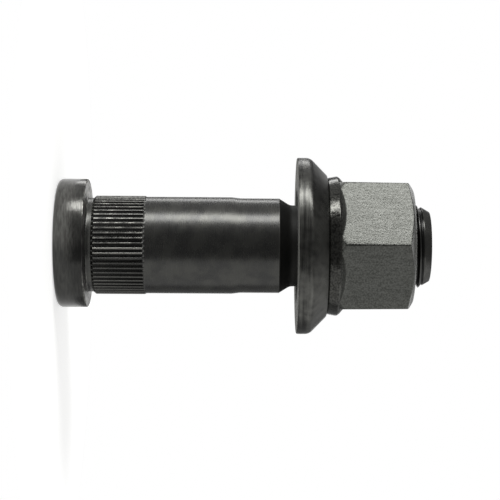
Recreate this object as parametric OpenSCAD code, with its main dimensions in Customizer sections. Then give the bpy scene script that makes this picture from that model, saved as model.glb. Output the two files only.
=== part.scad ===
// Wheel stud with its hexagon nut and the loose conical washer held on that nut.
// The stud stands on its head, with +Z along its axis to the threaded tip and -Y as its front.
// The nut is run part of the way down the thread. All sizes are in millimetres.

/* [Stud head] */
// Diameter of the round head
head_d = 34; // [31:0.1:38]
// Thickness of the head
head_t = 7.8; // [6:0.1:12]
// Rounding of the head's edge at its bottom face
head_round = 1.4; // [0.5:0.1:3]
// Break of the head's upper edge
head_break = 0.4; // [0.1:0.05:1]
// Distance of the forged head's centre from the shank's axis
head_offset = 0.45; // [0:0.05:1]

/* [Groove and serrations] */
// Diameter of the groove under the head
groove_d = 24.8; // [24:0.05:24.9]
// Length of the groove
groove_len = 1.55; // [1:0.05:3]
// Leg of the fillet where the groove meets the head
groove_fillet = 0.65; // [0.6:0.05:0.9]
// Diameter over the serrations
serration_d = 26; // [25.8:0.05:27]
// Depth of the spaces between the serrations
serration_depth = 0.5; // [0.35:0.05:0.55]
// Number of serrations
serration_count = 60; // [40:1:72]
// Length of the serrations with both their end chamfers
serration_len = 13.95; // [8:0.05:18]
// Length of the chamfer at the head's end of the serrations
serration_lead = 0.65; // [0.3:0.05:1.5]
// Length of the run-out at the other end of the serrations
serration_runout = 0.5; // [0.3:0.05:1.5]
// Width of a serration's crest
serration_crest = 0.3; // [0.2:0.05:0.4]
// Width of the floor between two serrations
serration_floor = 0.2; // [0.1:0.05:0.3]
// Angle of the first serration from the front
serration_turn = -1.8; // [-3:0.1:3]

/* [Shank] */
// Diameter of the shank after the serrations
shank_d = 25.55; // [25.2:0.05:25.7]
// Length of that shank
shank_len = 22.5; // [15:0.1:30]
// Length of the conical step to the front shank
step_len = 2.1; // [0.5:0.1:4]
// Diameter of the front shank
front_d = 25; // [24.5:0.05:25.1]
// Length of the front shank
front_len = 10.35; // [5:0.05:15]
// Slope of the taper to the thread, from the axis
taper_angle = 31.5; // [25:0.5:45]
// Diameter of the plain neck before the thread
neck_d = 21.45; // [20.5:0.05:21.8]
// Length of the plain neck
neck_len = 1.7; // [1:0.1:3]

/* [Thread and tip] */
// Nominal diameter of the thread
thread_d = 22; // [21.9:0.05:22.1]
// Pitch of the thread
thread_pitch = 1.5; // [1:0.25:2]
// Length of the thread with the tip
thread_len = 35.05; // [32:0.05:50]
// Slope of the tip's chamfer, from the axis
tip_angle = 30; // [20:1:45]
// Length of the tip's chamfer
tip_len = 3.1; // [2:0.05:5]
// Rounding of the tip's edge
tip_round = 0.3; // [0.2:0.1:1.2]

/* [Nut] */
// Distance of the nut's collar past the start of the thread
nut_run = 8.1; // [8.1:0.1:12]
// Height of the nut from its collar's lower edge to its end
nut_h = 22.4; // [20:0.05:26]
// Width across the flats at the collar
hex_af = 33.2; // [32:0.1:33.4]
// Draft of each flat towards the nut's end
hex_draft = 0.75; // [0:0.05:1]
// Radius over the hexagon's corners
hex_corner_r = 19.05; // [18.6:0.05:19.2]
// Turn of the flats from the X axis
hex_turn = -0.8; // [-30:0.1:30]
// Diameter of the collar at its lower edge
collar_base_d = 36.1; // [35:0.05:36.6]
// Largest diameter of the collar
collar_d = 36.9; // [36.7:0.05:38]
// Height of the collar's straight side
collar_h = 2.4; // [1.5:0.05:3]
// Height of the collar's rounding and of its blend into the flats
collar_blend = 2.3; // [1.5:0.1:4]
// Radius of the round seat between nut and washer
seat_r = 26; // [24:0.5:30]
// Outer diameter of the skirt under the collar
skirt_d = 25.2; // [24.6:0.1:25.6]
// Distance of the skirt's end inside the washer's bearing face
skirt_back = 1.7; // [1.2:0.1:1.9]
// Diameter of the lip rolled out at the skirt's end
skirt_lip_d = 28.3; // [27.8:0.1:28.4]
// Height of that lip
skirt_lip_h = 0.7; // [0.4:0.05:0.8]
// Bore of the skirt below the thread
skirt_bore_d = 22.7; // [22.4:0.05:22.9]
// Length of the skirt's bore
skirt_bore_len = 2.1; // [1:0.1:4]
// Diameter of the countersink at the nut's end
countersink_d = 23.8; // [22.6:0.1:25]
// Radial clearance between the nut's bore and the thread
thread_clearance = 0.05; // [0.02:0.01:0.1]

/* [Washer] */
// Diameter of the washer's rim
washer_d = 46.6; // [44:0.1:50]
// Height of the washer
washer_h = 7.9; // [7.6:0.05:8.4]
// Gap between the washer's top and the collar's lower edge
washer_gap = 0.2; // [0.1:0.05:0.4]
// Break of the rim's lower edge
washer_break = 0.35; // [0.1:0.05:0.8]
// Height of the straight rim with its lower break
washer_rim_h = 2.3; // [1.5:0.1:3]
// Rounding between the rim and the cone
washer_round = 2.6; // [1:0.1:3.5]
// Width of the land between the washer's cone and its round seat
washer_land = 0.8; // [0.4:0.05:1.2]
// Radial play between the nut's skirt and the washer's bore
bore_play = 1.05; // [0.9:0.05:1.2]
// Radial play between the skirt's lip and the recess in the bearing face
recess_play = 0.95; // [0.9:0.05:1.3]
// Play between the lip and the top of the recess
lip_play = 0.8; // [0.7:0.05:0.9]
// Clearance between the round seat of the nut and the washer
seat_clearance = 0.05; // [0.02:0.01:0.1]

/* [Hidden] */
$fn = 96;

groove_r = groove_d / 2;
serration_r = serration_d / 2;
serration_root_r = serration_r - serration_depth;
shank_r = shank_d / 2;
front_r = front_d / 2;
neck_r = neck_d / 2;
thread_r = thread_d / 2;

serration_z = head_t + groove_len;
shank_z = serration_z + serration_len;
step_z = shank_z + shank_len;
front_z = step_z + step_len;
taper_z = front_z + front_len;
neck_z = taper_z + (front_r - neck_r) / tan(taper_angle);
thread_z = neck_z + neck_len;
stud_len = thread_z + thread_len;
tip_z = stud_len - tip_len;
tip_centre_r = thread_r - (tip_len - tip_round * (1 - sin(tip_angle))) * tan(tip_angle) - tip_round * cos(tip_angle);

nut_z = thread_z + nut_run;
nut_end_z = nut_z + nut_h;
nut_bore_r = thread_r + thread_clearance;
collar_top_z = nut_z + collar_h;
seat_z = nut_z + sqrt(seat_r * seat_r - collar_base_d * collar_base_d / 4);

washer_top_z = nut_z - washer_gap;
washer_z = washer_top_z - washer_h;
skirt_z = washer_z + skirt_back;
recess_top_z = skirt_z + skirt_lip_h + lip_play;
washer_bore_r = skirt_d / 2 + bore_play;
washer_recess_r = skirt_lip_d / 2 + recess_play;
washer_seat_r = seat_r + seat_clearance;
washer_top_r = sqrt(washer_seat_r * washer_seat_r - pow(seat_z - washer_top_z, 2)) + washer_land;

// Points of a circle's arc, as [radius, height] pairs
function arc(r, z, size, from, to, steps) =
    [for (i = [0:steps]) let (a = from + (to - from) * i / steps) [r + size * cos(a), z + size * sin(a)]];

// Outline of the serrations, with the flanks run on past the crests so that the crests can be turned round
function serration_points() =
    let (
        step = 360 / serration_count,
        crest = serration_crest / 2 / serration_r * 180 / PI,
        floor_half = serration_floor / 2 / serration_root_r * 180 / PI,
        past = 0.1,
        outer = crest - (step / 2 - crest - floor_half) * past / serration_depth
    )
    [for (i = [0:serration_count - 1], c = [
        [serration_r + past, -outer], [serration_r + past, outer],
        [serration_root_r, step / 2 - floor_half], [serration_root_r, step / 2 + floor_half]
    ]) let (a = 270 + serration_turn + i * step + c[1]) [c[0] * cos(a), c[0] * sin(a)]];

module revolve(points) {
    rotate_extrude() polygon(points);
}

// Round forged head, slightly off the shank's axis
module head() {
    r = head_d / 2;
    translate([-head_offset, 0, 0])
        revolve(concat(
            [[0, 0]],
            arc(r - head_round, head_round, head_round, -90, 0, 6),
            [[r, head_t - head_break], [r - head_break, head_t], [0, head_t]]
        ));
}

// Groove, shank, step, taper, neck, thread and tip, turned round
module shank() {
    fillet_r = groove_r + groove_fillet;
    revolve(concat(
        [
            [0, head_t / 2], [fillet_r + 0.2, head_t / 2], [fillet_r + 0.2, head_t - 0.2],
            [groove_r, head_t + groove_fillet],
            [groove_r, shank_z - 1.6 * serration_runout], [shank_r, shank_z],
            [shank_r, step_z], [front_r, front_z], [front_r, taper_z],
            [neck_r, neck_z], [neck_r, thread_z],
            [thread_r, thread_z + 1.2 * (thread_r - neck_r)], [thread_r, tip_z]
        ],
        arc(tip_centre_r, stud_len - tip_round, tip_round, tip_angle, 90, 4),
        [[0, stud_len]]
    ));
}

// Ring of straight serrations, with their crests turned round and chamfered at both ends
module serrations() {
    lead = (serration_r - groove_r) / serration_lead;
    runout = (serration_r - shank_r) / serration_runout;
    intersection() {
        translate([0, 0, serration_z - 0.2])
            linear_extrude(height = serration_len + 0.4)
                polygon(serration_points());
        revolve([
            [0, serration_z - 0.15], [groove_r - 0.15 * lead, serration_z - 0.15],
            [serration_r, serration_z + serration_lead],
            [serration_r, shank_z - serration_runout],
            [shank_r - 0.3 * runout, shank_z + 0.3], [0, shank_z + 0.3]
        ]);
    }
}

module wheel_stud() {
    color([0.11, 0.11, 0.12]) union() {
        head();
        shank();
        serrations();
    }
}

// Hexagon with a slight draft, its corners turned round
module hexagon() {
    tall = nut_h + 4;
    wide = 2 * hex_af;
    difference() {
        translate([0, 0, collar_top_z - 1]) cylinder(r = hex_corner_r, h = tall);
        for (i = [0:5])
            rotate([0, 0, hex_turn + 60 * i])
                translate([hex_af / 2, 0, collar_top_z])
                    rotate([0, -hex_draft, 0])
                        translate([0, -wide / 2, -tall]) cube([wide, wide, 3 * tall]);
    }
}

// Turned shape that chamfers the hexagon at both its ends
module hexagon_ends() {
    flat_r = hex_af / 2;
    revolve([
        [0, collar_top_z + 0.1],
        [collar_d / 2 - 0.5, collar_top_z + 0.1], [collar_d / 2 + 1.2, collar_top_z + 1.75],
        [collar_d / 2 + 1.2, nut_end_z - 2.6], [hex_corner_r, nut_end_z - 2.2],
        [flat_r + 0.7, nut_end_z - 1.5], [flat_r - 0.2, nut_end_z - 0.95],
        [flat_r - 1.15, nut_end_z - 0.25], [flat_r - 1.8, nut_end_z], [0, nut_end_z]
    ]);
}

// Round collar under the hexagon, with its blend up to the flats
module collar() {
    r = collar_d / 2;
    revolve([
        [0, nut_z - 8], [collar_base_d / 2 - 0.4, nut_z - 8], [collar_base_d / 2 - 0.4, nut_z - 0.4],
        [collar_base_d / 2, nut_z], [r, nut_z + 0.9 * collar_h], [r, collar_top_z],
        [r - 0.12, collar_top_z + 0.17 * collar_blend], [r - 0.45, collar_top_z + 0.31 * collar_blend],
        [r - 1.02, collar_top_z + 0.5 * collar_blend], [r - 1.4, collar_top_z + 0.65 * collar_blend],
        [r - 1.75, collar_top_z + 0.84 * collar_blend], [r - 2.05, collar_top_z + 1.1 * collar_blend],
        [0, collar_top_z + 1.1 * collar_blend]
    ]);
}

// Thin skirt that passes through the washer, with the rolled lip that keeps the washer on
module skirt() {
    lip_r = skirt_lip_d / 2;
    revolve([
        [0, skirt_z], [lip_r - 0.4, skirt_z], [lip_r, skirt_z + 0.3], [lip_r, skirt_z + skirt_lip_h],
        [skirt_d / 2 + 0.5, skirt_z + skirt_lip_h + 0.15], [skirt_d / 2, skirt_z + skirt_lip_h + 0.45],
        [skirt_d / 2, nut_z], [0, nut_z]
    ]);
}

// Threaded bore with the skirt's wider bore below and a countersink at the nut's end
module nut_bore() {
    mouth_r = skirt_bore_d / 2;
    revolve([
        [0, skirt_z - 1], [mouth_r + 1.3, skirt_z - 1], [mouth_r, skirt_z + 0.3],
        [mouth_r, skirt_z + skirt_bore_len], [nut_bore_r, skirt_z + skirt_bore_len + 0.3],
        [nut_bore_r, nut_end_z - (countersink_d / 2 - nut_bore_r)],
        [countersink_d / 2 + 1, nut_end_z + 1], [0, nut_end_z + 1]
    ]);
}

module hex_nut() {
    color([0.42, 0.42, 0.4]) difference() {
        union() {
            intersection() {
                union() {
                    collar();
                    intersection() {
                        hexagon();
                        hexagon_ends();
                    }
                }
                translate([0, 0, seat_z]) sphere(r = seat_r);
            }
            skirt();
        }
        nut_bore();
    }
}

module flange_washer() {
    round_r = washer_d / 2 - washer_round;
    round_z = washer_z + washer_rim_h;
    rise = washer_top_z - round_z;
    inset = washer_top_r - round_r;
    bevel = atan2(rise, inset) - acos(washer_round / sqrt(rise * rise + inset * inset));
    color([0.16, 0.16, 0.16]) difference() {
        revolve(concat(
            [
                [0, washer_z], [washer_d / 2 - washer_break, washer_z],
                [washer_d / 2, washer_z + washer_break]
            ],
            arc(round_r, round_z, washer_round, 0, bevel, 5),
            [[washer_top_r, washer_top_z], [0, washer_top_z]]
        ));
        translate([0, 0, seat_z]) sphere(r = washer_seat_r);
        translate([0, 0, washer_z - 1]) cylinder(r = washer_bore_r, h = washer_h + 2);
        revolve([
            [0, washer_z - 1], [washer_recess_r + 1.2, washer_z - 1],
            [washer_recess_r, washer_z + 0.2], [washer_recess_r, recess_top_z],
            [0, recess_top_z]
        ]);
    }
}

wheel_stud();
hex_nut();
flange_washer();
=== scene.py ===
"""Wheel stud, its hexagon nut and the loose washer on that nut: fine forms and finishes.

Sizes in the classes are millimetres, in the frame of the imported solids: +Z runs from the stud's
head to its tip and -Y faces the camera. A mesh is turned into metres when it is made.
"""

import logging
import math
from dataclasses import dataclass, field
from enum import Enum
from functools import partial
from typing import Any, Mapping, Sequence

import bmesh
import bpy
import numpy as np
from mathutils import Matrix, Vector


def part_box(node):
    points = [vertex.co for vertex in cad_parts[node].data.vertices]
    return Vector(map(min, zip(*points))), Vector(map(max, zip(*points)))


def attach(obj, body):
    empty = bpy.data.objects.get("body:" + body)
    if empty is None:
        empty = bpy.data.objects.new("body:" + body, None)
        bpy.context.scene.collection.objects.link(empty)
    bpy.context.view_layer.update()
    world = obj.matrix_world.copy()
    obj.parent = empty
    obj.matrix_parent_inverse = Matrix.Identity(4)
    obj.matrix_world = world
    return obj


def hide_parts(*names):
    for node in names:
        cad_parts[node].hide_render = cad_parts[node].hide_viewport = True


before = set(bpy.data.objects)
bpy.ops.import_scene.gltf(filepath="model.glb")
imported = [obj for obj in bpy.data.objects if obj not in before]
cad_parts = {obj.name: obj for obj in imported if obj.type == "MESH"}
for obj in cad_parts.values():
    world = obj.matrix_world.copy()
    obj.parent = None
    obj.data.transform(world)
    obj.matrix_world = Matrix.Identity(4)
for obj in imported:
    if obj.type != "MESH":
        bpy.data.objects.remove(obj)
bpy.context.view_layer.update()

MM = 0.001
WELD = 2e-6
TURN = 2 * math.pi
SMOOTH = {"interpolation_type": "SMOOTHSTEP"}
COLOUR = {"data_type": "RGBA"}

LOG = logging.getLogger("wheel_stud")


class Slot(Enum):
    """Names of the material slots."""

    STUD = "stud_steel"
    NUT = "nut_steel"
    WASHER = "washer_steel"


class Body(Enum):
    """Moving bodies of the frame."""

    STUD = "stud"
    NUT = "nut"
    WASHER = "washer"


def smooth_min(first: np.ndarray, second: np.ndarray, reach: float) -> np.ndarray:
    """Gives the lesser of two surfaces, with their meeting edge rounded.

    Where they differ by less than the reach, the result is their blend by a share h, less
    reach times h times (1 - h), which is tangent to both.

    Args:
        first: Values of one surface.
        second: Values of the other.
        reach: Difference at which the rounding starts.

    Returns:
        The rounded lesser values.
    """
    share = np.clip(0.5 + 0.5 * (second - first) / reach, 0.0, 1.0)
    return second + (first - second) * share - reach * share * (1.0 - share)


def smooth_max(first: np.ndarray, second: np.ndarray, reach: float) -> np.ndarray:
    """Gives the greater of two surfaces, rounded where they meet as in smooth_min."""
    return -smooth_min(-first, -second, reach)


def smooth_step(values: np.ndarray, low: float, high: float) -> np.ndarray:
    """Gives t * t * (3 - 2 t), with t the share of the way from low to high, from 0 to 1."""
    share = np.clip((values - low) / (high - low), 0.0, 1.0)
    return share * share * (3.0 - 2.0 * share)


def arc(centre: tuple[float, float], radius: float, start: float, end: float, steps: int) -> np.ndarray:
    """Gives points (radius, height) on a circle about a centre in the half plane.

    Args:
        centre: Distance from the axis and height of the circle's centre.
        radius: Radius of the circle.
        start: First angle in degrees, from the outward direction towards +Z.
        end: Last angle in degrees.
        steps: Number of spans between the points.

    Returns:
        An array of steps + 1 rows.
    """
    angles = np.radians(np.linspace(start, end, steps + 1))
    return np.stack([centre[0] + radius * np.cos(angles), centre[1] + radius * np.sin(angles)], axis=1)


def sweep(radii: np.ndarray, heights: np.ndarray, angles: np.ndarray,
          shift_x: np.ndarray | float = 0.0) -> np.ndarray:
    """Turns radius and height over angle into points: x = r cos a + shift, y = r sin a, z = height.

    Args:
        radii: Radius of each point, of shape rows or rows by columns.
        heights: Height of each point, of the same kind of shape.
        angles: Angle of each column in radians.
        shift_x: Shift of each row along X.

    Returns:
        Points of shape rows by columns by 3.
    """
    radii = radii[:, None] if radii.ndim == 1 else radii
    heights = heights[:, None] if heights.ndim == 1 else heights
    shift = np.asarray(shift_x, float)
    shift = shift[:, None] if shift.ndim == 1 else shift
    parts = (radii * np.cos(angles) + shift, radii * np.sin(angles), heights + 0.0 * angles)
    return np.stack(np.broadcast_arrays(*parts), axis=2)


class Skin:
    """A closed surface, gathered from grids of points that meet at their edges.

    Rows run along the outline with the metal on their left, and columns run round the axis, so that
    every face points outwards. Points that coincide are welded, which closes seams and poles.
    """

    def __init__(self) -> None:
        """Starts with no points."""
        self.points: list[np.ndarray] = []
        self.faces: list[list[list[int]]] = []
        self.count = 0

    def _keep(self, points: np.ndarray) -> int:
        """Stores points.

        Args:
            points: Points in an array of any shape by 3.

        Returns:
            The number of the first of them.
        """
        first = self.count
        self.points.append(points.reshape(-1, 3))
        self.count += self.points[-1].shape[0]
        return first

    def add(self, grid: np.ndarray) -> None:
        """Adds a grid of points and the four-sided faces between them.

        Args:
            grid: Points of shape rows by columns by 3.
        """
        rows, columns = grid.shape[:2]
        first = self._keep(grid)
        corner = (first + np.arange(rows - 1)[:, None] * columns + np.arange(columns - 1)).ravel()
        quads = np.stack([corner, corner + 1, corner + columns + 1, corner + columns], axis=1)
        self.faces.append(quads.tolist())

    def join(self, coarse: np.ndarray, fine: np.ndarray, fine_first: bool) -> None:
        """Joins a ring to one of three times its columns, with a triangle, a quad and a triangle each.

        Args:
            coarse: Points of the ring with fewer columns.
            fine: Points of the ring with three times as many spans.
            fine_first: Whether the fine ring comes first along the outline.
        """
        low = self._keep(coarse) + np.arange(coarse.shape[0] - 1)
        high = self._keep(fine) + 3 * np.arange(coarse.shape[0] - 1)
        strips = (
            np.stack([low, high + 1, high], axis=1),
            np.stack([low, low + 1, high + 2, high + 1], axis=1),
            np.stack([low + 1, high + 3, high + 2], axis=1),
        )
        for strip in strips:
            self.faces.append((strip[:, ::-1] if fine_first else strip).tolist())

    def piece(self, name: str, crease: float) -> bpy.types.Object:
        """Welds the surface into one mesh object at the origin, in metres.

        Args:
            name: Name of the object.
            crease: Angle in degrees past which an edge stays sharp.

        Returns:
            The new object, linked to the scene.
        """
        mesh = bpy.data.meshes.new(name)
        faces = [face for block in self.faces for face in block]
        mesh.from_pydata(np.concatenate(self.points), [], faces)
        mesh.transform(Matrix.Scale(MM, 4))
        shell = bmesh.new()
        shell.from_mesh(mesh)
        bmesh.ops.remove_doubles(shell, verts=shell.verts, dist=WELD)
        shell.to_mesh(mesh)
        shell.free()
        mesh.shade_smooth()
        mesh.set_sharp_from_angle(angle=math.radians(crease))
        made = bpy.data.objects.new(name, mesh)
        bpy.context.scene.collection.objects.link(made)
        LOG.info("%s: %d points, %d faces", name, len(mesh.vertices), len(mesh.polygons))
        return made


@dataclass(frozen=True)
class ScrewThread:
    """Right-hand thread with flanks at 30 degrees, as a radius over angle and height.

    With d the distance from the nearest crest as a share of the pitch, the radius is the crest's
    for a small d, falls along the flank and is the root's for a large d. Both corners are rounded.
    """

    pitch: float = 1.5
    crest_r: float = 10.97
    root_r: float = 10.08
    crest_z: float = 0.6
    crest_share: float = 0.0625
    rounding: float = 0.09
    rows: tuple[float, ...] = (-0.5, -0.41, -0.35, -0.1, -0.06, 0.0, 0.06, 0.1, 0.35, 0.41)

    def radius(self, angles: np.ndarray, heights: np.ndarray) -> np.ndarray:
        """Gives the thread's radius.

        Args:
            angles: Angle of each point in radians.
            heights: Height of each point.

        Returns:
            The radius at each point.
        """
        turns = (heights - self.crest_z) / self.pitch - angles / TURN
        share = np.abs((turns + 0.5) % 1.0 - 0.5)
        flank = self.crest_r - (share - self.crest_share) * self.pitch / math.tan(math.radians(30))
        return smooth_max(smooth_min(flank, self.crest_r, self.rounding), self.root_r, self.rounding)

    def heights(self, angles: np.ndarray, low: float, high: float) -> np.ndarray:
        """Gives rows of heights that follow the helix: each rises by a pitch in a turn.

        Rows past the ends are held at them, and their points are welded away.

        Args:
            angles: Angle of each column in radians.
            low: Height of the lower end.
            high: Height of the upper end.

        Returns:
            Heights of shape rows by columns.
        """
        first = math.floor((low - self.crest_z) / self.pitch) - 1
        last = math.ceil((high - self.crest_z) / self.pitch) + 2
        turns = (np.arange(first, last)[:, None] + np.array(self.rows)).ravel()
        rise = self.crest_z + self.pitch * (turns[:, None] + angles / TURN)
        return np.clip(rise, low, high)


@dataclass
class Stud:
    """Forged and rolled stud: head, groove, serrations, shank, taper, neck, thread and tip."""

    head_r: float = 17.0
    head_t: float = 7.8
    head_round: float = 1.4
    head_break: float = 0.4
    head_offset: float = 0.45
    groove_r: float = 12.4
    groove_len: float = 1.55
    fillet: float = 0.65
    serration_r: float = 13.0
    serration_depth: float = 0.5
    serration_count: int = 60
    serration_len: float = 13.95
    serration_turn: float = -1.8
    lead: float = 0.65
    runout: float = 0.5
    crest_w: float = 0.3
    floor_w: float = 0.2
    tooth_round: float = 0.05
    body_round: float = 0.04
    shank_r: float = 12.775
    shank_len: float = 22.5
    step_len: float = 2.1
    front_r: float = 12.5
    front_len: float = 10.35
    front_round: float = 0.25
    taper_angle: float = 31.5
    neck_r: float = 10.725
    neck_len: float = 1.7
    bend_in: float = 0.45
    bend_share: float = 0.28
    bend_out: float = 0.6
    thread_in: float = 0.9
    tip_angle: float = 30.0
    tip_len: float = 3.1
    tip_round: float = 0.3
    tip_r: float = 10.0
    cone_round: float = 0.05
    thread: ScrewThread = field(default_factory=ScrewThread)
    base_radii: tuple[float, ...] = (0.0, 6.0, 12.0)
    face_radii: tuple[float, ...] = (15.4, 14.2)
    tooth_columns: tuple[float, ...] = (
        -0.42, -0.36, -0.15, -0.11, -0.06, 0.0, 0.06, 0.11, 0.15, 0.36, 0.42, 0.5)

    def __post_init__(self) -> None:
        """Works out the heights of the sections from their lengths, and the columns' angles."""
        self.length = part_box("wheel_stud")[1].z / MM
        self.serration_z = self.head_t + self.groove_len
        self.shank_z = self.serration_z + self.serration_len
        self.step_z = self.shank_z + self.shank_len
        self.front_z = self.step_z + self.step_len
        self.taper_z = self.front_z + self.front_len
        slope = math.tan(math.radians(self.taper_angle))
        self.neck_z = self.taper_z + (self.front_r - self.neck_r) / slope
        self.thread_z = self.neck_z + self.neck_len
        self.tip_z = self.length - self.tip_len
        self.cone_slope = math.tan(math.radians(self.tip_angle))
        self.cone_z = self.tip_z + (self.thread.crest_r - self.tip_r) / self.cone_slope
        self.root_r = self.serration_r - self.serration_depth
        self.step = TURN / self.serration_count
        self.first_tooth = math.radians(270 + self.serration_turn)
        teeth = self.first_tooth + self.step * np.arange(self.serration_count)
        columns = (teeth[:, None] + self.step * np.array(self.tooth_columns)).ravel()
        self.fine = np.append(columns, columns[0] + TURN)
        self.coarse = self.fine[::3]

    def turned(self, profile: np.ndarray, shift_x: np.ndarray | float = 0.0) -> np.ndarray:
        """Turns a profile of (radius, height) points round the axis, on the coarse columns."""
        return sweep(profile[:, 0], profile[:, 1], self.coarse, shift_x)

    def head(self) -> np.ndarray:
        """Turns the head: flat base, rounded edge, rim, small edge round, face and fillet.

        The head's rings are centred off the axis, and those of the fillet on it. The shift
        happens on the flat face between them, where it changes no form.

        Returns:
            Points of shape rows by columns by 3.
        """
        base = np.array([[radius, 0.0] for radius in self.base_radii])
        edge = arc((self.head_r - self.head_round, self.head_round), self.head_round, -90, 0, 10)
        top = arc((self.head_r - self.head_break, self.head_t - self.head_break), self.head_break, 0, 90, 4)
        face = np.array([[radius, self.head_t] for radius in self.face_radii])
        fillet_at = (self.groove_r + self.fillet, self.head_t + self.fillet)
        fillet = arc(fillet_at, self.fillet, 270, 180, 6)
        groove = np.array([[self.groove_r, self.serration_z - 0.35]])
        profile = np.concatenate([base, edge, top, face, fillet, groove])
        centred = np.arange(len(profile)) >= len(profile) - len(fillet) - len(groove)
        return self.turned(profile, np.where(centred, 0.0, -self.head_offset))

    def tooth_radius(self, angles: np.ndarray, heights: np.ndarray) -> np.ndarray:
        """Gives the radius over the serrations at each angle and height.

        Across a tooth it is a trapezoid: crest, straight flanks and floor, with rounded corners.
        A lead cone, the crest's own radius and a run-out cone cut it, and the turned body of
        groove and shank fills its spaces at both ends.

        Args:
            angles: Angle of each point in radians.
            heights: Height of each point.

        Returns:
            The radius at each point.
        """
        share = (angles - self.first_tooth) / self.step
        across = np.abs((share + 0.5) % 1.0 - 0.5) * self.step * self.serration_r
        wide = self.step * self.serration_r / 2 - self.floor_w / 2 - self.crest_w / 2
        flank = self.serration_r - (across - self.crest_w / 2) * self.serration_depth / wide
        crest = smooth_min(flank, self.serration_r, self.tooth_round)
        tooth = smooth_max(crest, self.root_r, self.tooth_round)
        above = (self.serration_r - self.groove_r) * (heights - self.serration_z) / self.lead
        left = (self.serration_r - self.shank_r) * (self.shank_z - heights) / self.runout
        cones = smooth_min(self.groove_r + above, self.shank_r + left, self.tooth_round)
        rise = smooth_step(heights, self.shank_z - 1.6 * self.runout, self.shank_z)
        body = self.groove_r + (self.shank_r - self.groove_r) * rise
        return smooth_max(np.minimum(tooth, cones), body, self.body_round)

    def serrations(self) -> np.ndarray:
        """Makes the ring of serrations on the fine columns, its rows close at both ends.

        Returns:
            Points of shape rows by columns by 3.
        """
        start = np.linspace(self.serration_z, self.serration_z + 1.2 * self.lead, 8)
        end = np.linspace(self.shank_z - 2.2 * self.runout, self.shank_z, 10)
        middle = np.linspace(start[-1], end[0], 5)[1:-1]
        heights = np.concatenate([start, middle, end])[:, None] + 0.0 * self.fine
        radii = self.tooth_radius(self.fine + 0.0 * heights, heights)
        radii[0] = self.groove_r
        radii[-1] = self.shank_r
        return sweep(radii, heights, self.fine)

    def shank(self) -> np.ndarray:
        """Turns the shank, its step, the front shank with a rounded edge, the taper and the neck.

        Returns:
            Points of shape rows by columns by 3.
        """
        round_at = (self.front_r - self.front_round, self.taper_z - 0.3 * self.front_round)
        below = self.bend_share * (self.neck_z - self.taper_z)
        bend = np.linspace(0.0, 1.0, 8)
        neck = np.stack([
            self.neck_r + self.bend_in * (1 - bend) ** 2,
            self.neck_z - below + (below + self.bend_out) * bend,
        ], axis=1)
        profile = np.concatenate([
            np.array([[self.shank_r, self.shank_z + 0.3], [self.shank_r, self.shank_z + 6]]),
            np.array([[self.shank_r, self.step_z - 0.2], [self.shank_r - 0.01, self.step_z]]),
            np.array([[self.front_r + 0.01, self.front_z], [self.front_r, self.front_z + 0.2]]),
            arc(round_at, self.front_round, 0, self.taper_angle + 20, 4),
            neck,
            np.array([[self.neck_r, self.thread_z]]),
        ])
        return self.turned(profile)

    def screw(self) -> np.ndarray:
        """Makes the helical thread, from its run-in at the neck to where the tip's cone ends it.

        Returns:
            Points of shape rows by columns by 3.
        """
        heights = self.thread.heights(self.coarse, self.thread_z, self.cone_z)
        grown = smooth_step(heights, self.thread_z, self.thread_z + self.thread_in)
        cut = self.neck_r + (self.thread.radius(self.coarse, heights) - self.neck_r) * grown
        cone = self.thread.crest_r - (heights - self.tip_z) * self.cone_slope
        radii = np.where(heights >= self.cone_z, self.tip_r, smooth_min(cut, cone, self.cone_round))
        return sweep(radii, heights, self.coarse)

    def tip(self) -> np.ndarray:
        """Turns the plain end of the tip: the cone, its rounded edge and the flat end.

        Returns:
            Points of shape rows by columns by 3.
        """
        angle = math.radians(self.tip_angle)
        past = self.length - self.tip_round * (1 - math.sin(angle)) - self.tip_z
        edge_r = self.thread.crest_r - past * self.cone_slope - self.tip_round * math.cos(angle)
        profile = np.concatenate([
            np.array([[self.tip_r, self.cone_z]]),
            arc((edge_r, self.length - self.tip_round), self.tip_round, self.tip_angle, 90, 8),
            np.array([[4.0, self.length], [0.0, self.length]]),
        ])
        return self.turned(profile)

    def build(self) -> bpy.types.Object:
        """Makes the whole stud as one closed mesh that replaces its solid.

        Returns:
            The piece, which rides on its body in place of the solid.
        """
        skin = Skin()
        head, teeth, shank = self.head(), self.serrations(), self.shank()
        skin.add(head)
        skin.join(head[-1], teeth[0], fine_first=False)
        skin.add(teeth)
        skin.join(shank[0], teeth[-1], fine_first=True)
        skin.add(shank)
        skin.add(self.screw())
        skin.add(self.tip())
        made = skin.piece("stud_body", crease=38)
        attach(made, Body.STUD.value)
        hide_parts("wheel_stud")
        return made


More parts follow.
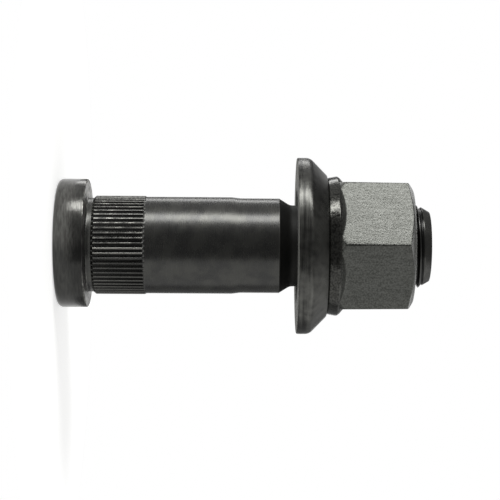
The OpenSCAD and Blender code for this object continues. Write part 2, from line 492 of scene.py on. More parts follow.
@dataclass
class Nut:
    """Hexagon nut: thin skirt with a rolled lip, round seat, collar, hexagon and threaded bore."""

    height: float = 22.4
    flat_r: float = 16.6
    draft: float = 0.75
    corner_r: float = 19.05
    hex_turn: float = -0.8
    collar_base_r: float = 18.05
    collar_r: float = 18.45
    collar_h: float = 2.4
    knee_share: float = 0.9
    blend_h: float = 2.53
    blend_in: float = 2.05
    seat_r: float = 26.0
    skirt_r: float = 12.6
    lip_r: float = 14.15
    lip_h: float = 0.7
    skirt_bore_r: float = 11.35
    skirt_bore_len: float = 2.1
    mouth_break: float = 0.3
    countersink_r: float = 11.9
    bore_r: float = 11.05
    bore_play: float = 0.08
    minor_r: float = 10.2
    lead_slope: float = 0.4
    edge: float = 0.28
    blend_rows: float = 3.4
    end_rows: float = 3.6
    thread: ScrewThread = field(default_factory=ScrewThread)
    end_depths: tuple[float, ...] = (0.0, 0.22, 0.78, 1.25, 1.85, 2.2)
    end_radii: tuple[float, ...] = (15.0, 15.6, 16.4, 17.3, 19.05, 20.2)
    corner_columns: tuple[float, ...] = (-1.2, -0.8, -0.5, -0.25, 0.0, 0.25, 0.5, 0.8, 1.2)

    def __post_init__(self) -> None:
        """Takes the nut's ends from the frame and works out the columns' angles."""
        low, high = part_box("hex_nut")
        self.skirt_z = low.z / MM
        self.end_z = high.z / MM
        self.base_z = self.end_z - self.height
        self.collar_top = self.base_z + self.collar_h
        self.knee_z = self.base_z + self.knee_share * self.collar_h
        self.seat_z = self.base_z + math.sqrt(self.seat_r**2 - self.collar_base_r**2)
        flat = np.linspace(self.corner_columns[-1], 60 + self.corner_columns[0], 27)[1:-1]
        sector = np.append(np.array(self.corner_columns), flat)
        corners = self.hex_turn + 30 + 60 * np.arange(6)
        columns = np.radians((corners[:, None] + sector).ravel())
        self.columns = np.append(columns, columns[0] + TURN)

    def turned(self, profile: np.ndarray) -> np.ndarray:
        """Turns a profile of (radius, height) points round the axis, on the nut's columns."""
        return sweep(profile[:, 0], profile[:, 1], self.columns)

    def skirt(self) -> np.ndarray:
        """Turns the skirt's plain bore and mouth, its rolled lip and wall, and the round seat.

        The seat is part of a sphere: its height is the centre's less the root of the radius
        squared minus the distance from the axis squared.

        Returns:
            Points of shape rows by columns by 3.
        """
        mouth = np.array([
            [self.skirt_bore_r, self.skirt_z + self.skirt_bore_len],
            [self.skirt_bore_r, self.skirt_z + self.mouth_break],
            [self.skirt_bore_r + self.mouth_break, self.skirt_z],
        ])
        half = self.lip_h / 2
        lip = arc((self.lip_r - half, self.skirt_z + half), half, -90, 90, 8)
        wall = np.array([
            [self.skirt_r + 0.5, self.skirt_z + self.lip_h + 0.15],
            [self.skirt_r, self.skirt_z + self.lip_h + 0.45],
        ])
        radii = np.linspace(self.skirt_r, self.collar_base_r - 0.4, 10)
        seat = np.stack([radii, self.seat_z - np.sqrt(self.seat_r**2 - radii**2)], axis=1)
        rim = np.array([[self.collar_base_r - 0.12, self.base_z - 0.15], [self.collar_base_r, self.base_z]])
        return self.turned(np.concatenate([mouth, lip, wall, seat, rim]))

    def hexagon(self, angles: np.ndarray, heights: np.ndarray) -> np.ndarray:
        """Gives the radius of the drafted hexagon, its corners rounded.

        Each flat's radius is its distance from the axis over the cosine of the angle from its
        normal, and the two flats next to an angle meet by a rounded minimum.

        Args:
            angles: Angle of each point in radians.
            heights: Height of each point.

        Returns:
            The radius at each point.
        """
        across = np.degrees(angles) - self.hex_turn
        near = np.radians((across + 30) % 60 - 30)
        flat = self.flat_r - (heights - self.collar_top) * math.tan(math.radians(self.draft))
        beside = np.radians(60) - np.abs(near)
        faces = smooth_min(flat / np.cos(near), flat / np.cos(beside), self.edge)
        return smooth_min(faces, np.full_like(faces, self.corner_r), self.edge)

    def outline(self, angles: np.ndarray, heights: np.ndarray) -> np.ndarray:
        """Gives the nut's outer radius at each angle and height.

        It is the hexagon, cut at both ends by turned shapes, joined to the collar. The collar
        widens a little, stands straight and falls along an S curve to the flats.

        Args:
            angles: Angle of each point in radians.
            heights: Height of each point.

        Returns:
            The radius at each point.
        """
        side = np.interp(heights, [self.base_z, self.knee_z], [self.collar_base_r, self.collar_r])
        fall = smooth_step(heights, self.collar_top, self.collar_top + self.blend_h)
        past = np.maximum(heights - self.collar_top - self.blend_h, 0.0)
        collar = side - self.blend_in * fall - 1.5 * past
        depths = self.end_z - heights
        offsets = (-0.2, -0.1, 0.0, 0.1, 0.2)
        end = np.mean([np.interp(depths + way, self.end_depths, self.end_radii) for way in offsets], axis=0)
        under = self.collar_r - 0.5 + 0.62 * (heights - self.collar_top - 0.1)
        cut = smooth_min(smooth_min(self.hexagon(angles, heights), end, self.edge), under, self.edge)
        low = np.where(heights < self.collar_top, 0.0, cut)
        return smooth_max(collar, low, self.edge)

    def outside(self) -> np.ndarray:
        """Makes the collar, the hexagon and its domed end, with close rows at the bends.

        Returns:
            Points of shape rows by columns by 3.
        """
        stops = (self.base_z, self.knee_z, self.collar_top, self.collar_top + self.blend_rows,
                 self.end_z - self.end_rows, self.end_z)
        rows = [np.linspace(low, high, count)[:-1]
                for low, high, count in zip(stops, stops[1:], (4, 4, 32, 10, 36))]
        heights = np.concatenate([*rows, [self.end_z, self.end_z]])[:, None] + 0.0 * self.columns
        radii = self.outline(self.columns + 0.0 * heights, heights)
        radii[0] = self.collar_base_r
        radii[-1] = self.countersink_r
        return sweep(radii, heights, self.columns)

    def bore(self) -> np.ndarray:
        """Makes the threaded bore from the countersink down to the skirt's plain bore.

        The bore is the stud's thread made wider by the play, held between its minor and major
        radius and cut by the cones of both its ends.

        Returns:
            Points of shape rows by columns by 3.
        """
        low = self.skirt_z + self.skirt_bore_len
        heights = self.thread.heights(self.columns, low, self.end_z)
        wide = self.thread.radius(self.columns, heights) + self.bore_play
        cut = np.clip(wide, self.minor_r, self.bore_r)
        sink = self.countersink_r - (self.end_z - heights)
        lead = self.skirt_bore_r - self.lead_slope * (heights - low)
        radii = np.maximum(np.maximum(cut, sink), lead)
        return sweep(radii, heights, self.columns)[::-1]

    def build(self) -> bpy.types.Object:
        """Makes the whole nut as one closed mesh that replaces its solid.

        Returns:
            The piece, which rides on its body in place of the solid.
        """
        skin = Skin()
        for grid in (self.skirt(), self.outside(), self.bore()):
            skin.add(grid)
        made = skin.piece("nut_body", crease=40)
        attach(made, Body.NUT.value)
        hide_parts("hex_nut")
        return made


@dataclass
class Washer:
    """Turned conical washer with a round seat, a plain bore and a recess for the nut's lip."""

    rim_r: float = 23.3
    height: float = 7.9
    gap: float = 0.2
    rim_h: float = 2.3
    rim_break: float = 0.35
    round_r: float = 2.6
    land: float = 0.8
    seat_play: float = 0.05
    bore_r: float = 13.65
    recess_r: float = 15.1
    recess_h: float = 3.2
    recess_break: float = 0.2
    top_round: float = 0.2
    columns: int = 300
    nut: Nut = field(default_factory=Nut)

    def __post_init__(self) -> None:
        """Places the washer under the nut's collar."""
        self.top_z = self.nut.base_z - self.gap
        self.base_z = self.top_z - self.height
        self.seat_r = self.nut.seat_r + self.seat_play
        self.seat_z = self.nut.seat_z
        self.seat_edge = math.sqrt(self.seat_r**2 - (self.seat_z - self.top_z) ** 2)
        self.top_r = self.seat_edge + self.land

    def outline(self) -> np.ndarray:
        """Gives the closed outline: bearing face, rim, cone, seat, bore and recess.

        The rounding between rim and cone is an arc that ends where the cone, which runs on to
        the top land, is tangent to it.

        Returns:
            Points as (radius, height), with the first one again at the end.
        """
        round_at = (self.rim_r - self.round_r, self.base_z + self.rim_h)
        rise = self.top_z - round_at[1]
        inset = self.top_r - round_at[0]
        reach = self.round_r / math.hypot(rise, inset)
        bevel = math.degrees(math.atan2(rise, inset) - math.acos(reach))
        brk = self.rim_break
        radii = np.linspace(self.seat_edge - 0.15, self.bore_r, 12)
        seat = np.stack([radii, self.seat_z - np.sqrt(self.seat_r**2 - radii**2)], axis=1)
        recess_z = self.base_z + self.recess_h
        recess_edge = np.array([[self.recess_r, self.base_z + self.recess_break]])
        return np.concatenate([
            recess_edge,
            np.array([[radius, self.base_z] for radius in (self.recess_r + self.recess_break, 17.0, 20.0)]),
            arc((self.rim_r - brk, self.base_z + brk), brk, -90, 0, 4),
            arc(round_at, self.round_r, 0, bevel, 12),
            arc((self.top_r - 0.12, self.top_z - self.top_round), self.top_round, bevel, 90, 4),
            np.array([[self.seat_edge + 0.1, self.top_z]]),
            seat,
            np.array([[self.bore_r, recess_z], [self.recess_r, recess_z]]),
            recess_edge,
        ])

    def build(self) -> bpy.types.Object:
        """Makes the washer as one closed mesh that replaces its solid.

        Returns:
            The piece, which rides on its body in place of the solid.
        """
        outline = self.outline()
        angles = np.linspace(0.0, TURN, self.columns + 1)
        skin = Skin()
        skin.add(sweep(outline[:, 0], outline[:, 1], angles))
        made = skin.piece("washer_body", crease=35)
        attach(made, Body.WASHER.value)
        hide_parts("flange_washer")
        return made


def linear(code: str) -> tuple[float, float, float, float]:
    """Turns an sRGB hex value into a linear colour.

    Args:
        code: Value such as #1c1c1e.

    Returns:
        Linear red, green and blue, and an alpha of 1.
    """
    shares = np.array([int(code[i:i + 2], 16) for i in (1, 3, 5)]) / 255.0
    curved = np.where(shares <= 0.04045, shares / 12.92, ((shares + 0.055) / 1.055) ** 2.4)
    return (*curved.tolist(), 1.0)


def add_node(tree: bpy.types.NodeTree, kind: str, inputs: Mapping[int | str, Any] | None = None,
             **settings: Any) -> bpy.types.Node:
    """Adds a shader node with its settings and its links.

    Args:
        tree: Node tree that gets the node.
        kind: Node type without its ShaderNode prefix.
        inputs: By number or name of the input, a value that is set on it, or a socket that feeds
            it, or a node that feeds it from its first output.
        settings: Values of the node's own properties.

    Returns:
        The new node.
    """
    node = tree.nodes.new("ShaderNode" + kind)
    for name, value in settings.items():
        setattr(node, name, value)
    for key, value in (inputs or {}).items():
        if isinstance(value, bpy.types.Node):
            value = value.outputs[0]
        if isinstance(value, bpy.types.NodeSocket):
            tree.links.new(value, node.inputs[key])
        else:
            node.inputs[key].default_value = value
    return node


@dataclass
class Pattern:
    """Marks that the finishes share: places on the piece, grain, turning marks, streaks and bands."""

    tree: bpy.types.NodeTree

    def __post_init__(self) -> None:
        """Reads object coordinates and splits them into radius, height and sides."""
        self.place = add_node(self.tree, "TexCoord").outputs["Object"]
        flat = add_node(self.tree, "VectorMath", {0: self.place, 1: (1, 1, 0)}, operation="MULTIPLY")
        self.radius = add_node(self.tree, "VectorMath", {0: flat}, operation="LENGTH").outputs[1]
        self.x, self.y, self.height = add_node(self.tree, "SeparateXYZ", {0: self.place}).outputs

    def grain(self, size: float, detail: float = 2.0, offset: float = 0.0) -> bpy.types.NodeSocket:
        """Gives an even grain.

        Args:
            size: Size of a grain in millimetres.
            detail: Number of finer layers in it.
            offset: Value that picks another grain of the same size.

        Returns:
            The grain, from 0 to 1.
        """
        inputs = {"Vector": self.place, "W": offset, "Scale": 1 / (size * MM), "Detail": detail}
        return add_node(self.tree, "TexNoise", inputs, noise_dimensions="4D").outputs[0]

    def rings(self, width: float, around: float, detail: float = 3.0) -> bpy.types.NodeSocket:
        """Gives turning marks: lines round the axis that fade over a length.

        Height and radius are added, so that the marks circle a rim and a flat face alike.

        Args:
            width: Distance between the lines in millimetres.
            around: Length of a line in millimetres.
            detail: Number of finer layers in them.

        Returns:
            The marks, from 0 to 1.
        """
        across = add_node(self.tree, "Math", {0: self.height, 1: self.radius}, operation="ADD")
        place = add_node(self.tree, "CombineXYZ", {0: self.x, 1: self.y, 2: across})
        scale = (1 / (around * MM), 1 / (around * MM), 1 / (width * MM))
        drawn = add_node(self.tree, "VectorMath", {0: place, 1: scale}, operation="MULTIPLY")
        inputs = {"Vector": drawn, "Scale": 1.0, "Detail": detail, "Roughness": 0.6}
        return add_node(self.tree, "TexNoise", inputs).outputs[0]

    def streaks(self, width: float, length: float) -> bpy.types.NodeSocket:
        """Gives marks that run along the axis.

        Args:
            width: Distance between the marks in millimetres.
            length: Length of a mark in millimetres.

        Returns:
            The marks, from 0 to 1.
        """
        scale = (1 / (width * MM), 1 / (width * MM), 1 / (length * MM))
        drawn = add_node(self.tree, "VectorMath", {0: self.place, 1: scale}, operation="MULTIPLY")
        inputs = {"Vector": drawn, "Scale": 1.0, "Detail": 3.0}
        return add_node(self.tree, "TexNoise", inputs).outputs[0]

    def band(self, value: bpy.types.NodeSocket, middle: float, half: float,
             soft: float) -> bpy.types.NodeSocket:
        """Marks a band with soft edges.

        Args:
            value: Height, radius or side of a point, in metres.
            middle: Middle of the band in millimetres.
            half: Half of its width in millimetres.
            soft: Width of its soft edge in millimetres.

        Returns:
            A mark that is 1 in the band and 0 away from it.
        """
        past = add_node(self.tree, "Math", {0: value, 1: middle * MM}, operation="SUBTRACT")
        away = add_node(self.tree, "Math", {0: past}, operation="ABSOLUTE")
        inputs = {0: away, 1: (half + soft) * MM, 2: half * MM}
        return add_node(self.tree, "MapRange", inputs, **SMOOTH).outputs[0]


def empty_material(name: str) -> tuple[bpy.types.Material, bpy.types.NodeTree]:
    """Makes an empty node material.

    Args:
        name: Name of the material.

    Returns:
        The material and its tree.
    """
    material = bpy.data.materials.new(name)
    material.use_nodes = True
    material.node_tree.nodes.clear()
    return material, material.node_tree


@dataclass(frozen=True)
class Finish:
    """What every finish has: a name and a metal surface with a colour, a roughness and a relief."""

    name: str

    def close(self, tree: bpy.types.NodeTree, metallic: float, colour: bpy.types.NodeSocket,
              roughness: bpy.types.Node, relief: bpy.types.Node) -> None:
        """Ends the tree with the metal's surface shader.

        Args:
            tree: Tree of the material.
            metallic: Share of metal in the surface.
            colour: Colour of the coat.
            roughness: Roughness of the coat.
            relief: Bump of the coat.
        """
        surface = add_node(tree, "BsdfPrincipled", {
            "Metallic": metallic, "Base Color": colour, "Roughness": roughness, "Normal": relief})
        add_node(tree, "OutputMaterial", {"Surface": surface})


@dataclass(frozen=True)
class BlackOxide(Finish):
    """Black oxide on forged and turned steel, oiled: a dark satin with soft, broken highlights.

    The thin oxide keeps the steel's gloss and gives almost black reflections. Turning marks break
    the highlight on the shank, scale makes the head's rim dull and grainy, and pressing and
    handling have rubbed the serrations' crests and the head's edge to bare steel. Painted highlight
    lays more bare steel and a paler scale on the lit -X side, and painted shade darkens the
    serrations' gaps, the thread's roots and the neck under the washer.
    """

    dark: str = "#4a4a49"
    light: str = "#565653"
    steel: str = "#a09f99"
    scale_dark: str = "#383837"
    scale_light: str = "#434341"
    # Painted highlight: paler scale colours for the head's lit -X side.
    lit_scale_light: str = "#60605d"
    lit_scale_dark: str = "#4c4b49"
    # Painted shade for the serrations' gaps, the thread's roots and the neck under the washer.
    shade_tone: str = "#2f2f2e"
    # X of a row of crests that are bare steel.
    bare_row_x: float = 1.2
    cloud: float = 4.0
    patch: float = 2.4
    knock: float = 1.1
    speck: float = 0.6
    mottle: float = 0.45
    feed: float = 0.35  # the real marks are about 0.15 mm apart and are drawn coarser, to show

    def rubbed(self, at: Pattern, stud: Stud, crests: bpy.types.Node) -> bpy.types.Node:
        """Marks what is bare steel: crests, the head's edge and the taper's brink.

        The grain patches and knocks are wear. The shares by X put more of it on the lit -X side and
        at the top and bottom of the view, which is painted highlight.

        Args:
            at: Patterns of the material.
            stud: Stud whose sizes place the marks.
            crests: Mark of the serrations' crests.

        Returns:
            The share of bare steel.
        """
        node = partial(add_node, at.tree)
        uneven = node("MapRange", {
            0: at.grain(self.patch, 2.0, 4.1), 1: 0.42, 2: 0.66, 3: 0.1, 4: 0.85}, **SMOOTH)
        # Painted highlight: side puts more bare steel on the lit -X side, and flanks keeps the head's edge
        # and some crests to the top and bottom of the view.
        side = node("MapRange", {0: at.x, 1: 2.5 * MM, 2: -2.0 * MM, 3: 0.08}, **SMOOTH)
        lit_side_wear = node("Math", {0: uneven, 1: side}, operation="MULTIPLY")
        away = node("Math", {0: at.x}, operation="ABSOLUTE")
        flanks = node("MapRange", {0: away, 1: 6.0 * MM, 2: 11.0 * MM, 3: 0.15}, **SMOOTH)
        faint = node("Math", {0: flanks, 1: 0.3}, operation="MULTIPLY")
        row = node("Math", {0: lit_side_wear, 1: at.band(at.x, self.bare_row_x, 0.9, 0.4)}, operation="MAXIMUM")
        worn_and_lit_share = node("Math", {0: row, 1: faint}, operation="MAXIMUM")
        brightened = node("Math", {0: crests, 1: worn_and_lit_share}, operation="MULTIPLY")
        spots = node("MapRange", {0: at.grain(self.knock, 3.0, 8.3), 1: 0.42, 2: 0.6, 4: 0.6}, **SMOOTH)
        knocks = node("Math", {0: spots, 1: flanks}, operation="MULTIPLY")
        edge = node("Math", {0: at.band(at.height, stud.head_t, 0.25, 0.2), 1: knocks}, operation="MULTIPLY")
        brink = at.band(at.height, stud.taper_z - 0.05, 0.1, 0.12)
        thin = node("Math", {0: brink, 1: 0.12}, operation="MULTIPLY")
        both = node("Math", {0: brightened, 1: edge}, operation="MAXIMUM")
        return node("Math", {0: both, 1: thin}, operation="MAXIMUM")

    def roots(self, at: Pattern, stud: Stud) -> bpy.types.Node:
        """Marks the roots of the thread, which painted shade darkens.

        The depth is the crest's radius, less the tip's cone past its start, less the radius.

        Args:
            at: Patterns of the material.
            stud: Stud whose sizes place the thread.

        Returns:
            A mark that grows with the depth below the crests.
        """
        node = partial(add_node, at.tree)
        over = node("Math", {0: at.height, 1: stud.tip_z * MM}, operation="SUBTRACT")
        past = node("Math", {0: over, 1: 0.0}, operation="MAXIMUM")
        cone = node("Math", {0: past, 1: stud.cone_slope}, operation="MULTIPLY")
        crest = node("Math", {0: stud.thread.crest_r * MM, 1: cone}, operation="SUBTRACT")
        depth = node("Math", {0: crest, 1: at.radius}, operation="SUBTRACT")
        sunk = node("MapRange", {0: depth, 1: 0.08 * MM, 2: 0.3 * MM}, **SMOOTH)
        middle, half = 0.5 * (stud.length + stud.thread_z), 0.5 * (stud.length - stud.thread_z) - 0.3
        threaded = at.band(at.height, middle, half, 0.1)
        return node("Math", {0: sunk, 1: threaded}, operation="MULTIPLY")

    def material(self, stud: Stud) -> bpy.types.Material:
        """Makes the material.

        Args:
            stud: Stud whose sizes place the zones of the finish.

        Returns:
            The new material.
        """
        material, tree = empty_material(self.name)
        node, at = partial(add_node, tree), Pattern(tree)
        cloud = node("MapRange", {0: at.grain(self.cloud, 4.0), 1: 0.35, 2: 0.65}, **SMOOTH)
        mottle = node("MapRange", {0: at.rings(self.mottle, 3.0, 4.0), 1: 0.36, 2: 0.66}, **SMOOTH)
        speck = at.grain(self.speck, 4.0, 1.7)
        lines = at.rings(self.feed, 14.0)
        head = node("MapRange", {
            0: at.height, 1: (stud.head_t + 0.3) * MM, 2: (stud.head_t + 0.1) * MM}, **SMOOTH)
        length = stud.serration_len
        teeth = at.band(at.height, stud.serration_z + 0.5 * length, 0.46 * length, 0.3)
        high = node("MapRange", {
            0: at.radius, 1: (stud.serration_r - 0.09) * MM, 2: (stud.serration_r - 0.02) * MM}, **SMOOTH)
        low = node("Math", {0: 1.0, 1: high}, operation="SUBTRACT")
        crests = node("Math", {0: teeth, 1: high}, operation="MULTIPLY")
        # Painted shade: the gaps between the teeth, the taper and neck under the washer, and the thread's
        # roots are darkened. The neck is also rougher.
        gaps = node("Math", {0: teeth, 1: low}, operation="MULTIPLY")
        middle, half = 0.5 * (stud.taper_z + stud.thread_z), 0.5 * (stud.thread_z - stud.taper_z)
        foot = at.band(at.height, middle + 0.6, half + 0.6, 0.2)
        dim = node("Math", {0: foot, 1: 0.85}, operation="MULTIPLY")
        shaded = node("Math", {0: gaps, 1: dim}, operation="MAXIMUM")
        painted_shade = node("Math", {0: shaded, 1: self.roots(at, stud)}, operation="MAXIMUM")

        # Painted highlight: where side is 1, on the lit -X side, the head's scale takes the paler colours.
        side = node("MapRange", {0: at.x, 1: 2.5 * MM, 2: -2.0 * MM}, **SMOOTH)
        scale = node("Mix", {
            0: mottle, 6: linear(self.scale_dark), 7: linear(self.scale_light)}, **COLOUR).outputs[2]
        brightened = node("Mix", {
            0: mottle, 6: linear(self.lit_scale_dark), 7: linear(self.lit_scale_light)}, **COLOUR).outputs[2]
        forged = node("Mix", {0: side, 6: scale, 7: brightened}, **COLOUR).outputs[2]
        turned = node("Mix", {
            0: cloud, 6: linear(self.dark), 7: linear(self.light)}, **COLOUR).outputs[2]
        oxide = node("Mix", {0: head, 6: turned, 7: forged}, **COLOUR).outputs[2]
        shaded_oxide = node("Mix", {0: painted_shade, 6: oxide, 7: linear(self.shade_tone)}, **COLOUR).outputs[2]
        colour = node("Mix", {
            0: self.rubbed(at, stud, crests), 6: shaded_oxide, 7: linear(self.steel)}, **COLOUR).outputs[2]

        satin = node("MapRange", {0: cloud, 1: 0.0, 2: 1.0, 3: 0.22, 4: 0.235}, **SMOOTH)
        broken = node("Math", {0: lines, 1: 0.1, 2: satin}, operation="MULTIPLY_ADD")
        smooth = node("Math", {0: head, 1: -0.07, 2: broken}, operation="MULTIPLY_ADD")
        dull = node("Math", {0: foot, 1: 0.3, 2: smooth}, operation="MULTIPLY_ADD")
        pitted = node("MapRange", {0: speck, 1: 0.35, 2: 0.65, 3: 0.05, 4: 0.45}, **SMOOTH)
        under = at.band(at.height, stud.head_t, 0.1, 0.1)
        roughness = node("Math", {0: under, 1: pitted, 2: dull}, operation="MULTIPLY_ADD")

        marks = node("Bump", {"Strength": 1.0, "Distance": 0.004 * MM, "Height": lines})
        grit = node("Math", {0: speck, 1: head}, operation="MULTIPLY")
        relief = node("Bump", {"Strength": 1.0, "Distance": 0.02 * MM, "Height": grit, "Normal": marks})
        self.close(tree, 0.9, colour, roughness, relief)
        return material


@dataclass(frozen=True)
class GreyPhosphate(Finish):
    """Zinc phosphate on forged steel: a matt, grey coat of fine crystals.

    The crystals scatter the light, so the faces look even and grainy and change tone as a whole
    with their slope. On the collar the coat is rubbed thin and is darker and smoother.
    """

    dark: str = "#4d4e4a"
    light: str = "#6e6f6b"
    collar_dark: str = "#2e2e2c"
    collar_light: str = "#5c5c58"
    wave: float = 1.5
    streak: float = 0.5
    crystal: float = 0.42  # the real crystals are under 0.1 mm and are drawn coarser, to show

    def material(self, nut: Nut) -> bpy.types.Material:
        """Makes the material.

        Args:
            nut: Nut whose sizes place the zones of the finish.

        Returns:
            The new material.
        """
        material, tree = empty_material(self.name)
        node, at = partial(add_node, tree), Pattern(tree)
        crystal = at.grain(self.crystal, 2.0)
        rubbed = node("Math", {0: at.streaks(self.streak, 5.0), 1: 0.25}, operation="MULTIPLY")
        tone = node("Math", {0: crystal, 1: 0.75, 2: rubbed}, operation="MULTIPLY_ADD")
        share = node("MapRange", {0: tone, 1: 0.36, 2: 0.64}, **SMOOTH)
        collar = node("MapRange", {
            0: at.height, 1: (nut.collar_top + 1.3) * MM, 2: (nut.collar_top + 0.2) * MM}, **SMOOTH)
        coat = node("Mix", {
            0: share, 6: linear(self.dark), 7: linear(self.light)}, **COLOUR).outputs[2]
        thin = node("Mix", {
            0: share, 6: linear(self.collar_dark), 7: linear(self.collar_light)}, **COLOUR).outputs[2]
        colour = node("Mix", {0: collar, 6: coat, 7: thin}, **COLOUR).outputs[2]
        matt = node("MapRange", {0: crystal, 1: 0.3, 2: 0.7, 3: 0.32, 4: 0.42}, **SMOOTH)
        roughness = node("Math", {0: collar, 1: -0.22, 2: matt}, operation="MULTIPLY_ADD")
        depth = node("MapRange", {0: collar, 1: 0.0, 2: 1.0, 3: 1.0, 4: 0.35}, **SMOOTH)
        height = node("Math", {0: crystal, 1: depth}, operation="MULTIPLY")
        waves = at.grain(self.wave, 3.0, 2.6)
        forged = node("Bump", {"Strength": 1.0, "Distance": 0.035 * MM, "Height": waves})
        relief = node("Bump", {"Strength": 1.0, "Distance": 0.08 * MM, "Height": height, "Normal": forged})
        self.close(tree, 0.9, colour, roughness, relief)
        return material


@dataclass(frozen=True)
class BlackPhosphate(Finish):
    """Black phosphate over a turned washer: dark satin with streaks that follow the turning tool.

    The wheel has rubbed the bearing face, which is paler and duller.
    """

    dark: str = "#444442"
    light: str = "#6c6c68"
    rubbed: str = "#7c7c78"
    chatter: float = 1.1
    feed: float = 0.3  # the real feed is about 0.2 mm and is drawn a little coarser, to show
    cloud: float = 2.0

    def material(self, washer: Washer) -> bpy.types.Material:
        """Makes the material.

        Args:
            washer: Washer whose sizes place the zones of the finish.

        Returns:
            The new material.
        """
        material, tree = empty_material(self.name)
        node, at = partial(add_node, tree), Pattern(tree)
        wide, fine = at.rings(self.chatter, 22.0, 2.0), at.rings(self.feed, 10.0)
        cloud = at.grain(self.cloud, 3.0)
        patches = node("Math", {0: cloud, 1: 0.4}, operation="MULTIPLY")
        tone = node("Math", {0: wide, 1: 0.6, 2: patches}, operation="MULTIPLY_ADD")
        share = node("MapRange", {0: tone, 1: 0.35, 2: 0.65}, **SMOOTH)
        face = node("MapRange", {
            0: at.height, 1: (washer.base_z + 0.15) * MM, 2: (washer.base_z + 0.03) * MM}, **SMOOTH)
        coat = node("Mix", {
            0: share, 6: linear(self.dark), 7: linear(self.light)}, **COLOUR).outputs[2]
        colour = node("Mix", {0: face, 6: coat, 7: linear(self.rubbed)}, **COLOUR).outputs[2]
        satin = node("MapRange", {0: fine, 1: 0.3, 2: 0.7, 3: 0.24, 4: 0.38}, **SMOOTH)
        roughness = node("Math", {0: face, 1: 0.3, 2: satin}, operation="MULTIPLY_ADD")
        waves = node("Bump", {"Strength": 1.0, "Distance": 0.02 * MM, "Height": wide})
        lines = node("Bump", {"Strength": 1.0, "Distance": 0.009 * MM, "Height": fine, "Normal": waves})
        relief = node("Bump", {"Strength": 1.0, "Distance": 0.008 * MM, "Height": cloud, "Normal": lines})
        self.close(tree, 1.0, colour, roughness, relief)
        return material


def dress(piece: bpy.types.Object, material: bpy.types.Material) -> None:
    """Gives a piece its only material."""
    piece.data.materials.clear()
    piece.data.materials.append(material)


@dataclass
class Lamp:
    """Soft box that faces the stud, placed by the angle from the camera's side round the axis."""

    name: str
    angle: float
    distance: float
    width: float
    length: float
    radiance: float
    height: float

    def build(self) -> bpy.types.Object:
        """Makes the lamp. Its power is its radiance times pi times its area.

        Returns:
            The lamp, linked to the scene.
        """
        light = bpy.data.lights.new(self.name, "AREA")
        light.shape = "RECTANGLE"
        light.size = self.width * MM
        light.size_y = self.length * MM
        light.energy = self.radiance * math.pi * light.size * light.size_y
        way = math.radians(self.angle)
        out = Vector((-math.sin(way), -math.cos(way), 0.0))
        turn = Matrix((Vector((0, 0, 1)).cross(out), (0, 0, 1), out)).transposed()
        lamp = bpy.data.objects.new(self.name, light)
        place = out * self.distance * MM + Vector((0, 0, self.height * MM))
        lamp.matrix_world = Matrix.Translation(place) @ turn.to_4x4()
        bpy.context.scene.collection.objects.link(lamp)
        return lamp


def shiny_rays(tree: bpy.types.NodeTree) -> bpy.types.NodeSocket:
    """Marks the rays that come by a reflection or through glass.

    Args:
        tree: Node tree that gets the nodes.

    Returns:
        A mark that is 1 for such a ray and 0 for any other.
    """
    rays = add_node(tree, "LightPath").outputs
    pair = {0: rays["Is Glossy Ray"], 1: rays["Is Transmission Ray"]}
    return add_node(tree, "Math", pair, operation="MAXIMUM").outputs[0]


@dataclass(frozen=True)
class Glow:
    """Soft patch of light in the surroundings, by its direction, strength and reach in degrees.

    It is full within one angle of its direction, fades smoothly and is none past another.
    """

    way: tuple[float, float, float]
    radiance: float
    full: float
    none: float


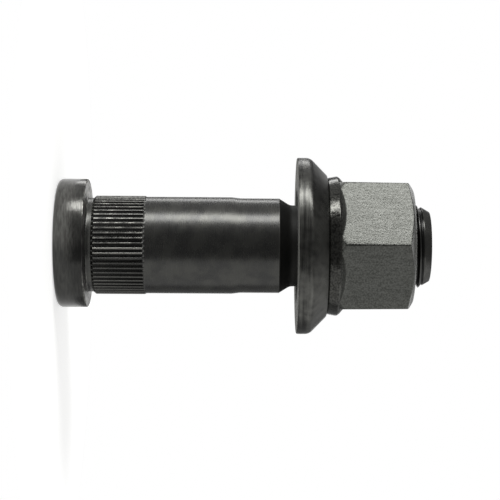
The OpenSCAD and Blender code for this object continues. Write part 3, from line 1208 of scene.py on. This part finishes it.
@dataclass
class Studio:
    """Camera, soft boxes, white surroundings and pale floor.

    The photograph shows the stud lying with its tip to the right, so the camera looks along +Y
    with +Z to its right and -X up. One pixel is 0.265 mm at the stud's axis, and the distance
    follows from how much the near edges of head, washer and nut bulge out.
    """

    pixel: float = 0.265
    frame_width: float = 500.0
    head_column: float = 59.13
    axis_row: float = 245.64
    centre: float = 250.0
    distance: float = 443.0
    roll: float = 0.35
    sensor: float = 36.0
    floor_r: float = 90.0
    floor_drop: float = 0.05
    floor_columns: int = 97
    floor_glow: float = 0.6
    rim_glow: float = 0.75
    plain_r: float = 50.0
    floor_tone: str = "#e6e6e4"
    ambient: float = 0.125
    paper_full: float = 12.0
    paper_none: float = 20.0
    glows: Sequence[Glow] = (
        Glow((-1.0, 0.15, 0.0), radiance=0.35, full=18.0, none=52.0),
        Glow((-0.06, 0.85, 0.52), radiance=1.7, full=4.0, none=22.0),
        Glow((0.6, 0.4, 0.7), radiance=0.36, full=12.0, none=42.0),
        Glow((0.0, 0.0, 1.0), radiance=0.05, full=40.0, none=80.0),
        Glow((-0.77, -0.64, 0.0), radiance=0.15, full=4.0, none=18.0),
        Glow((0.7, 0.7, 0.0), radiance=0.07, full=10.0, none=35.0),
    )
    lamps: Sequence[Lamp] = (
        Lamp("key_strip", angle=68.5, distance=620.0, width=190.0, length=1000.0,
             radiance=7.0, height=200.0),
        Lamp("edge_strip", angle=137.0, distance=600.0, width=120.0, length=400.0,
             radiance=3.2, height=10.0),
        Lamp("low_fill", angle=-73.0, distance=450.0, width=700.0, length=1000.0,
             radiance=0.55, height=200.0),
    )

    def camera(self) -> bpy.types.Object:
        """Makes the camera from the photograph's scale, middle, distance and roll.

        Returns:
            The camera, which the scene looks through.
        """
        view = bpy.data.cameras.new("camera")
        view.sensor_width = self.sensor
        view.lens = self.sensor * self.distance / (self.frame_width * self.pixel)
        across = (self.centre - self.axis_row) * self.pixel
        along = (self.centre - self.head_column) * self.pixel
        place = Vector((across, -self.distance, along))
        back = Vector((0.0, -1.0, 0.0))
        tilt = math.radians(self.roll)
        up = Vector((-math.cos(tilt), 0.0, -math.sin(tilt)))
        right = up.cross(back)
        camera = bpy.data.objects.new("camera", view)
        turn = Matrix((right, up, back)).transposed().to_4x4()
        camera.matrix_world = Matrix.Translation(place * MM) @ turn
        bpy.context.scene.collection.objects.link(camera)
        bpy.context.scene.camera = camera
        return camera

    def floor(self) -> bpy.types.Object:
        """Makes a round pale floor just under the head.

        Its own glow and the lamps' light make it just white to the camera and in the metal, so that
        the stud's shadow stays. The glow rises to the rim, where it fades the shadow out.

        Returns:
            The floor, linked to the scene.
        """
        angles = np.linspace(0.0, TURN, self.floor_columns)
        radii = np.array([self.floor_r, 0.0])
        skin = Skin()
        skin.add(sweep(radii, np.full(2, -self.floor_drop), angles))
        made = skin.piece("floor", crease=30)
        material, tree = empty_material("pale_paper")
        node = partial(add_node, tree)
        camera = node("LightPath").outputs["Is Camera Ray"]
        seen = node("Math", {0: camera, 1: shiny_rays(tree)}, operation="MAXIMUM")
        rise = node("MapRange", {
            0: Pattern(tree).radius, 1: self.plain_r * MM, 2: self.floor_r * MM,
            3: self.floor_glow, 4: self.rim_glow}, **SMOOTH)
        glow = node("Math", {0: seen, 1: rise}, operation="MULTIPLY")
        paper = node("BsdfDiffuse", {"Color": linear(self.floor_tone)})
        light = node("Emission", {"Strength": glow})
        node("OutputMaterial", {"Surface": node("AddShader", {0: paper, 1: light})})
        dress(made, material)
        return made

    def world(self) -> None:
        """Makes the surroundings: a white background, and in the metal a dim room with soft patches.

        A patch's light depends on the cosine of the angle from its direction, by a smooth step.
        The metal shows the white background as far as the camera has it in view behind the stud,
        and past the corners of the view it fades into the room.
        """
        world = bpy.data.worlds.new("studio")
        world.use_nodes = True
        tree = world.node_tree
        tree.nodes.clear()
        node = partial(add_node, tree)
        way = node("TexCoord").outputs["Generated"]
        room: float | bpy.types.Node = self.ambient
        for glow in self.glows:
            toward = tuple(Vector(glow.way).normalized())
            near = node("VectorMath", {0: way, 1: toward}, operation="DOT_PRODUCT").outputs[1]
            limits = {1: math.cos(math.radians(glow.none)), 2: math.cos(math.radians(glow.full))}
            light = node("MapRange", {0: near, **limits, 4: glow.radiance}, **SMOOTH)
            room = node("Math", {0: room, 1: light}, operation="ADD")
        back = node("SeparateXYZ", {0: way}).outputs[1]
        limits = {1: math.cos(math.radians(self.paper_none)), 2: math.cos(math.radians(self.paper_full))}
        paper = node("MapRange", {0: back, **limits}, **SMOOTH)
        mirrored = node("Math", {0: shiny_rays(tree), 1: paper}, operation="MULTIPLY")
        camera = node("LightPath").outputs["Is Camera Ray"]
        seen = node("Math", {0: camera, 1: mirrored}, operation="MAXIMUM")
        strength = node("Mix", {0: seen, 2: room, 3: 1.0})
        light = node("Background", {"Color": (1, 1, 1, 1), "Strength": strength})
        node("OutputWorld", {"Surface": light})
        bpy.context.scene.world = world

    def build(self) -> None:
        """Sets the stage and plain colour handling."""
        bpy.context.scene.view_settings.view_transform = "Standard"
        self.camera()
        self.floor()
        self.world()
        for lamp in self.lamps:
            lamp.build()


def main() -> None:
    """Builds the three pieces and the studio, and reports each piece."""
    logging.basicConfig(level=logging.INFO, format="%(name)s %(message)s")
    Studio().build()
    stud, nut, washer = Stud(), Nut(), Washer()
    dress(stud.build(), BlackOxide("black_oxide_steel").material(stud))
    dress(nut.build(), GreyPhosphate("grey_phosphate_steel").material(nut))
    dress(washer.build(), BlackPhosphate("black_phosphate_steel").material(washer))


if __name__ == "__main__":
    main()
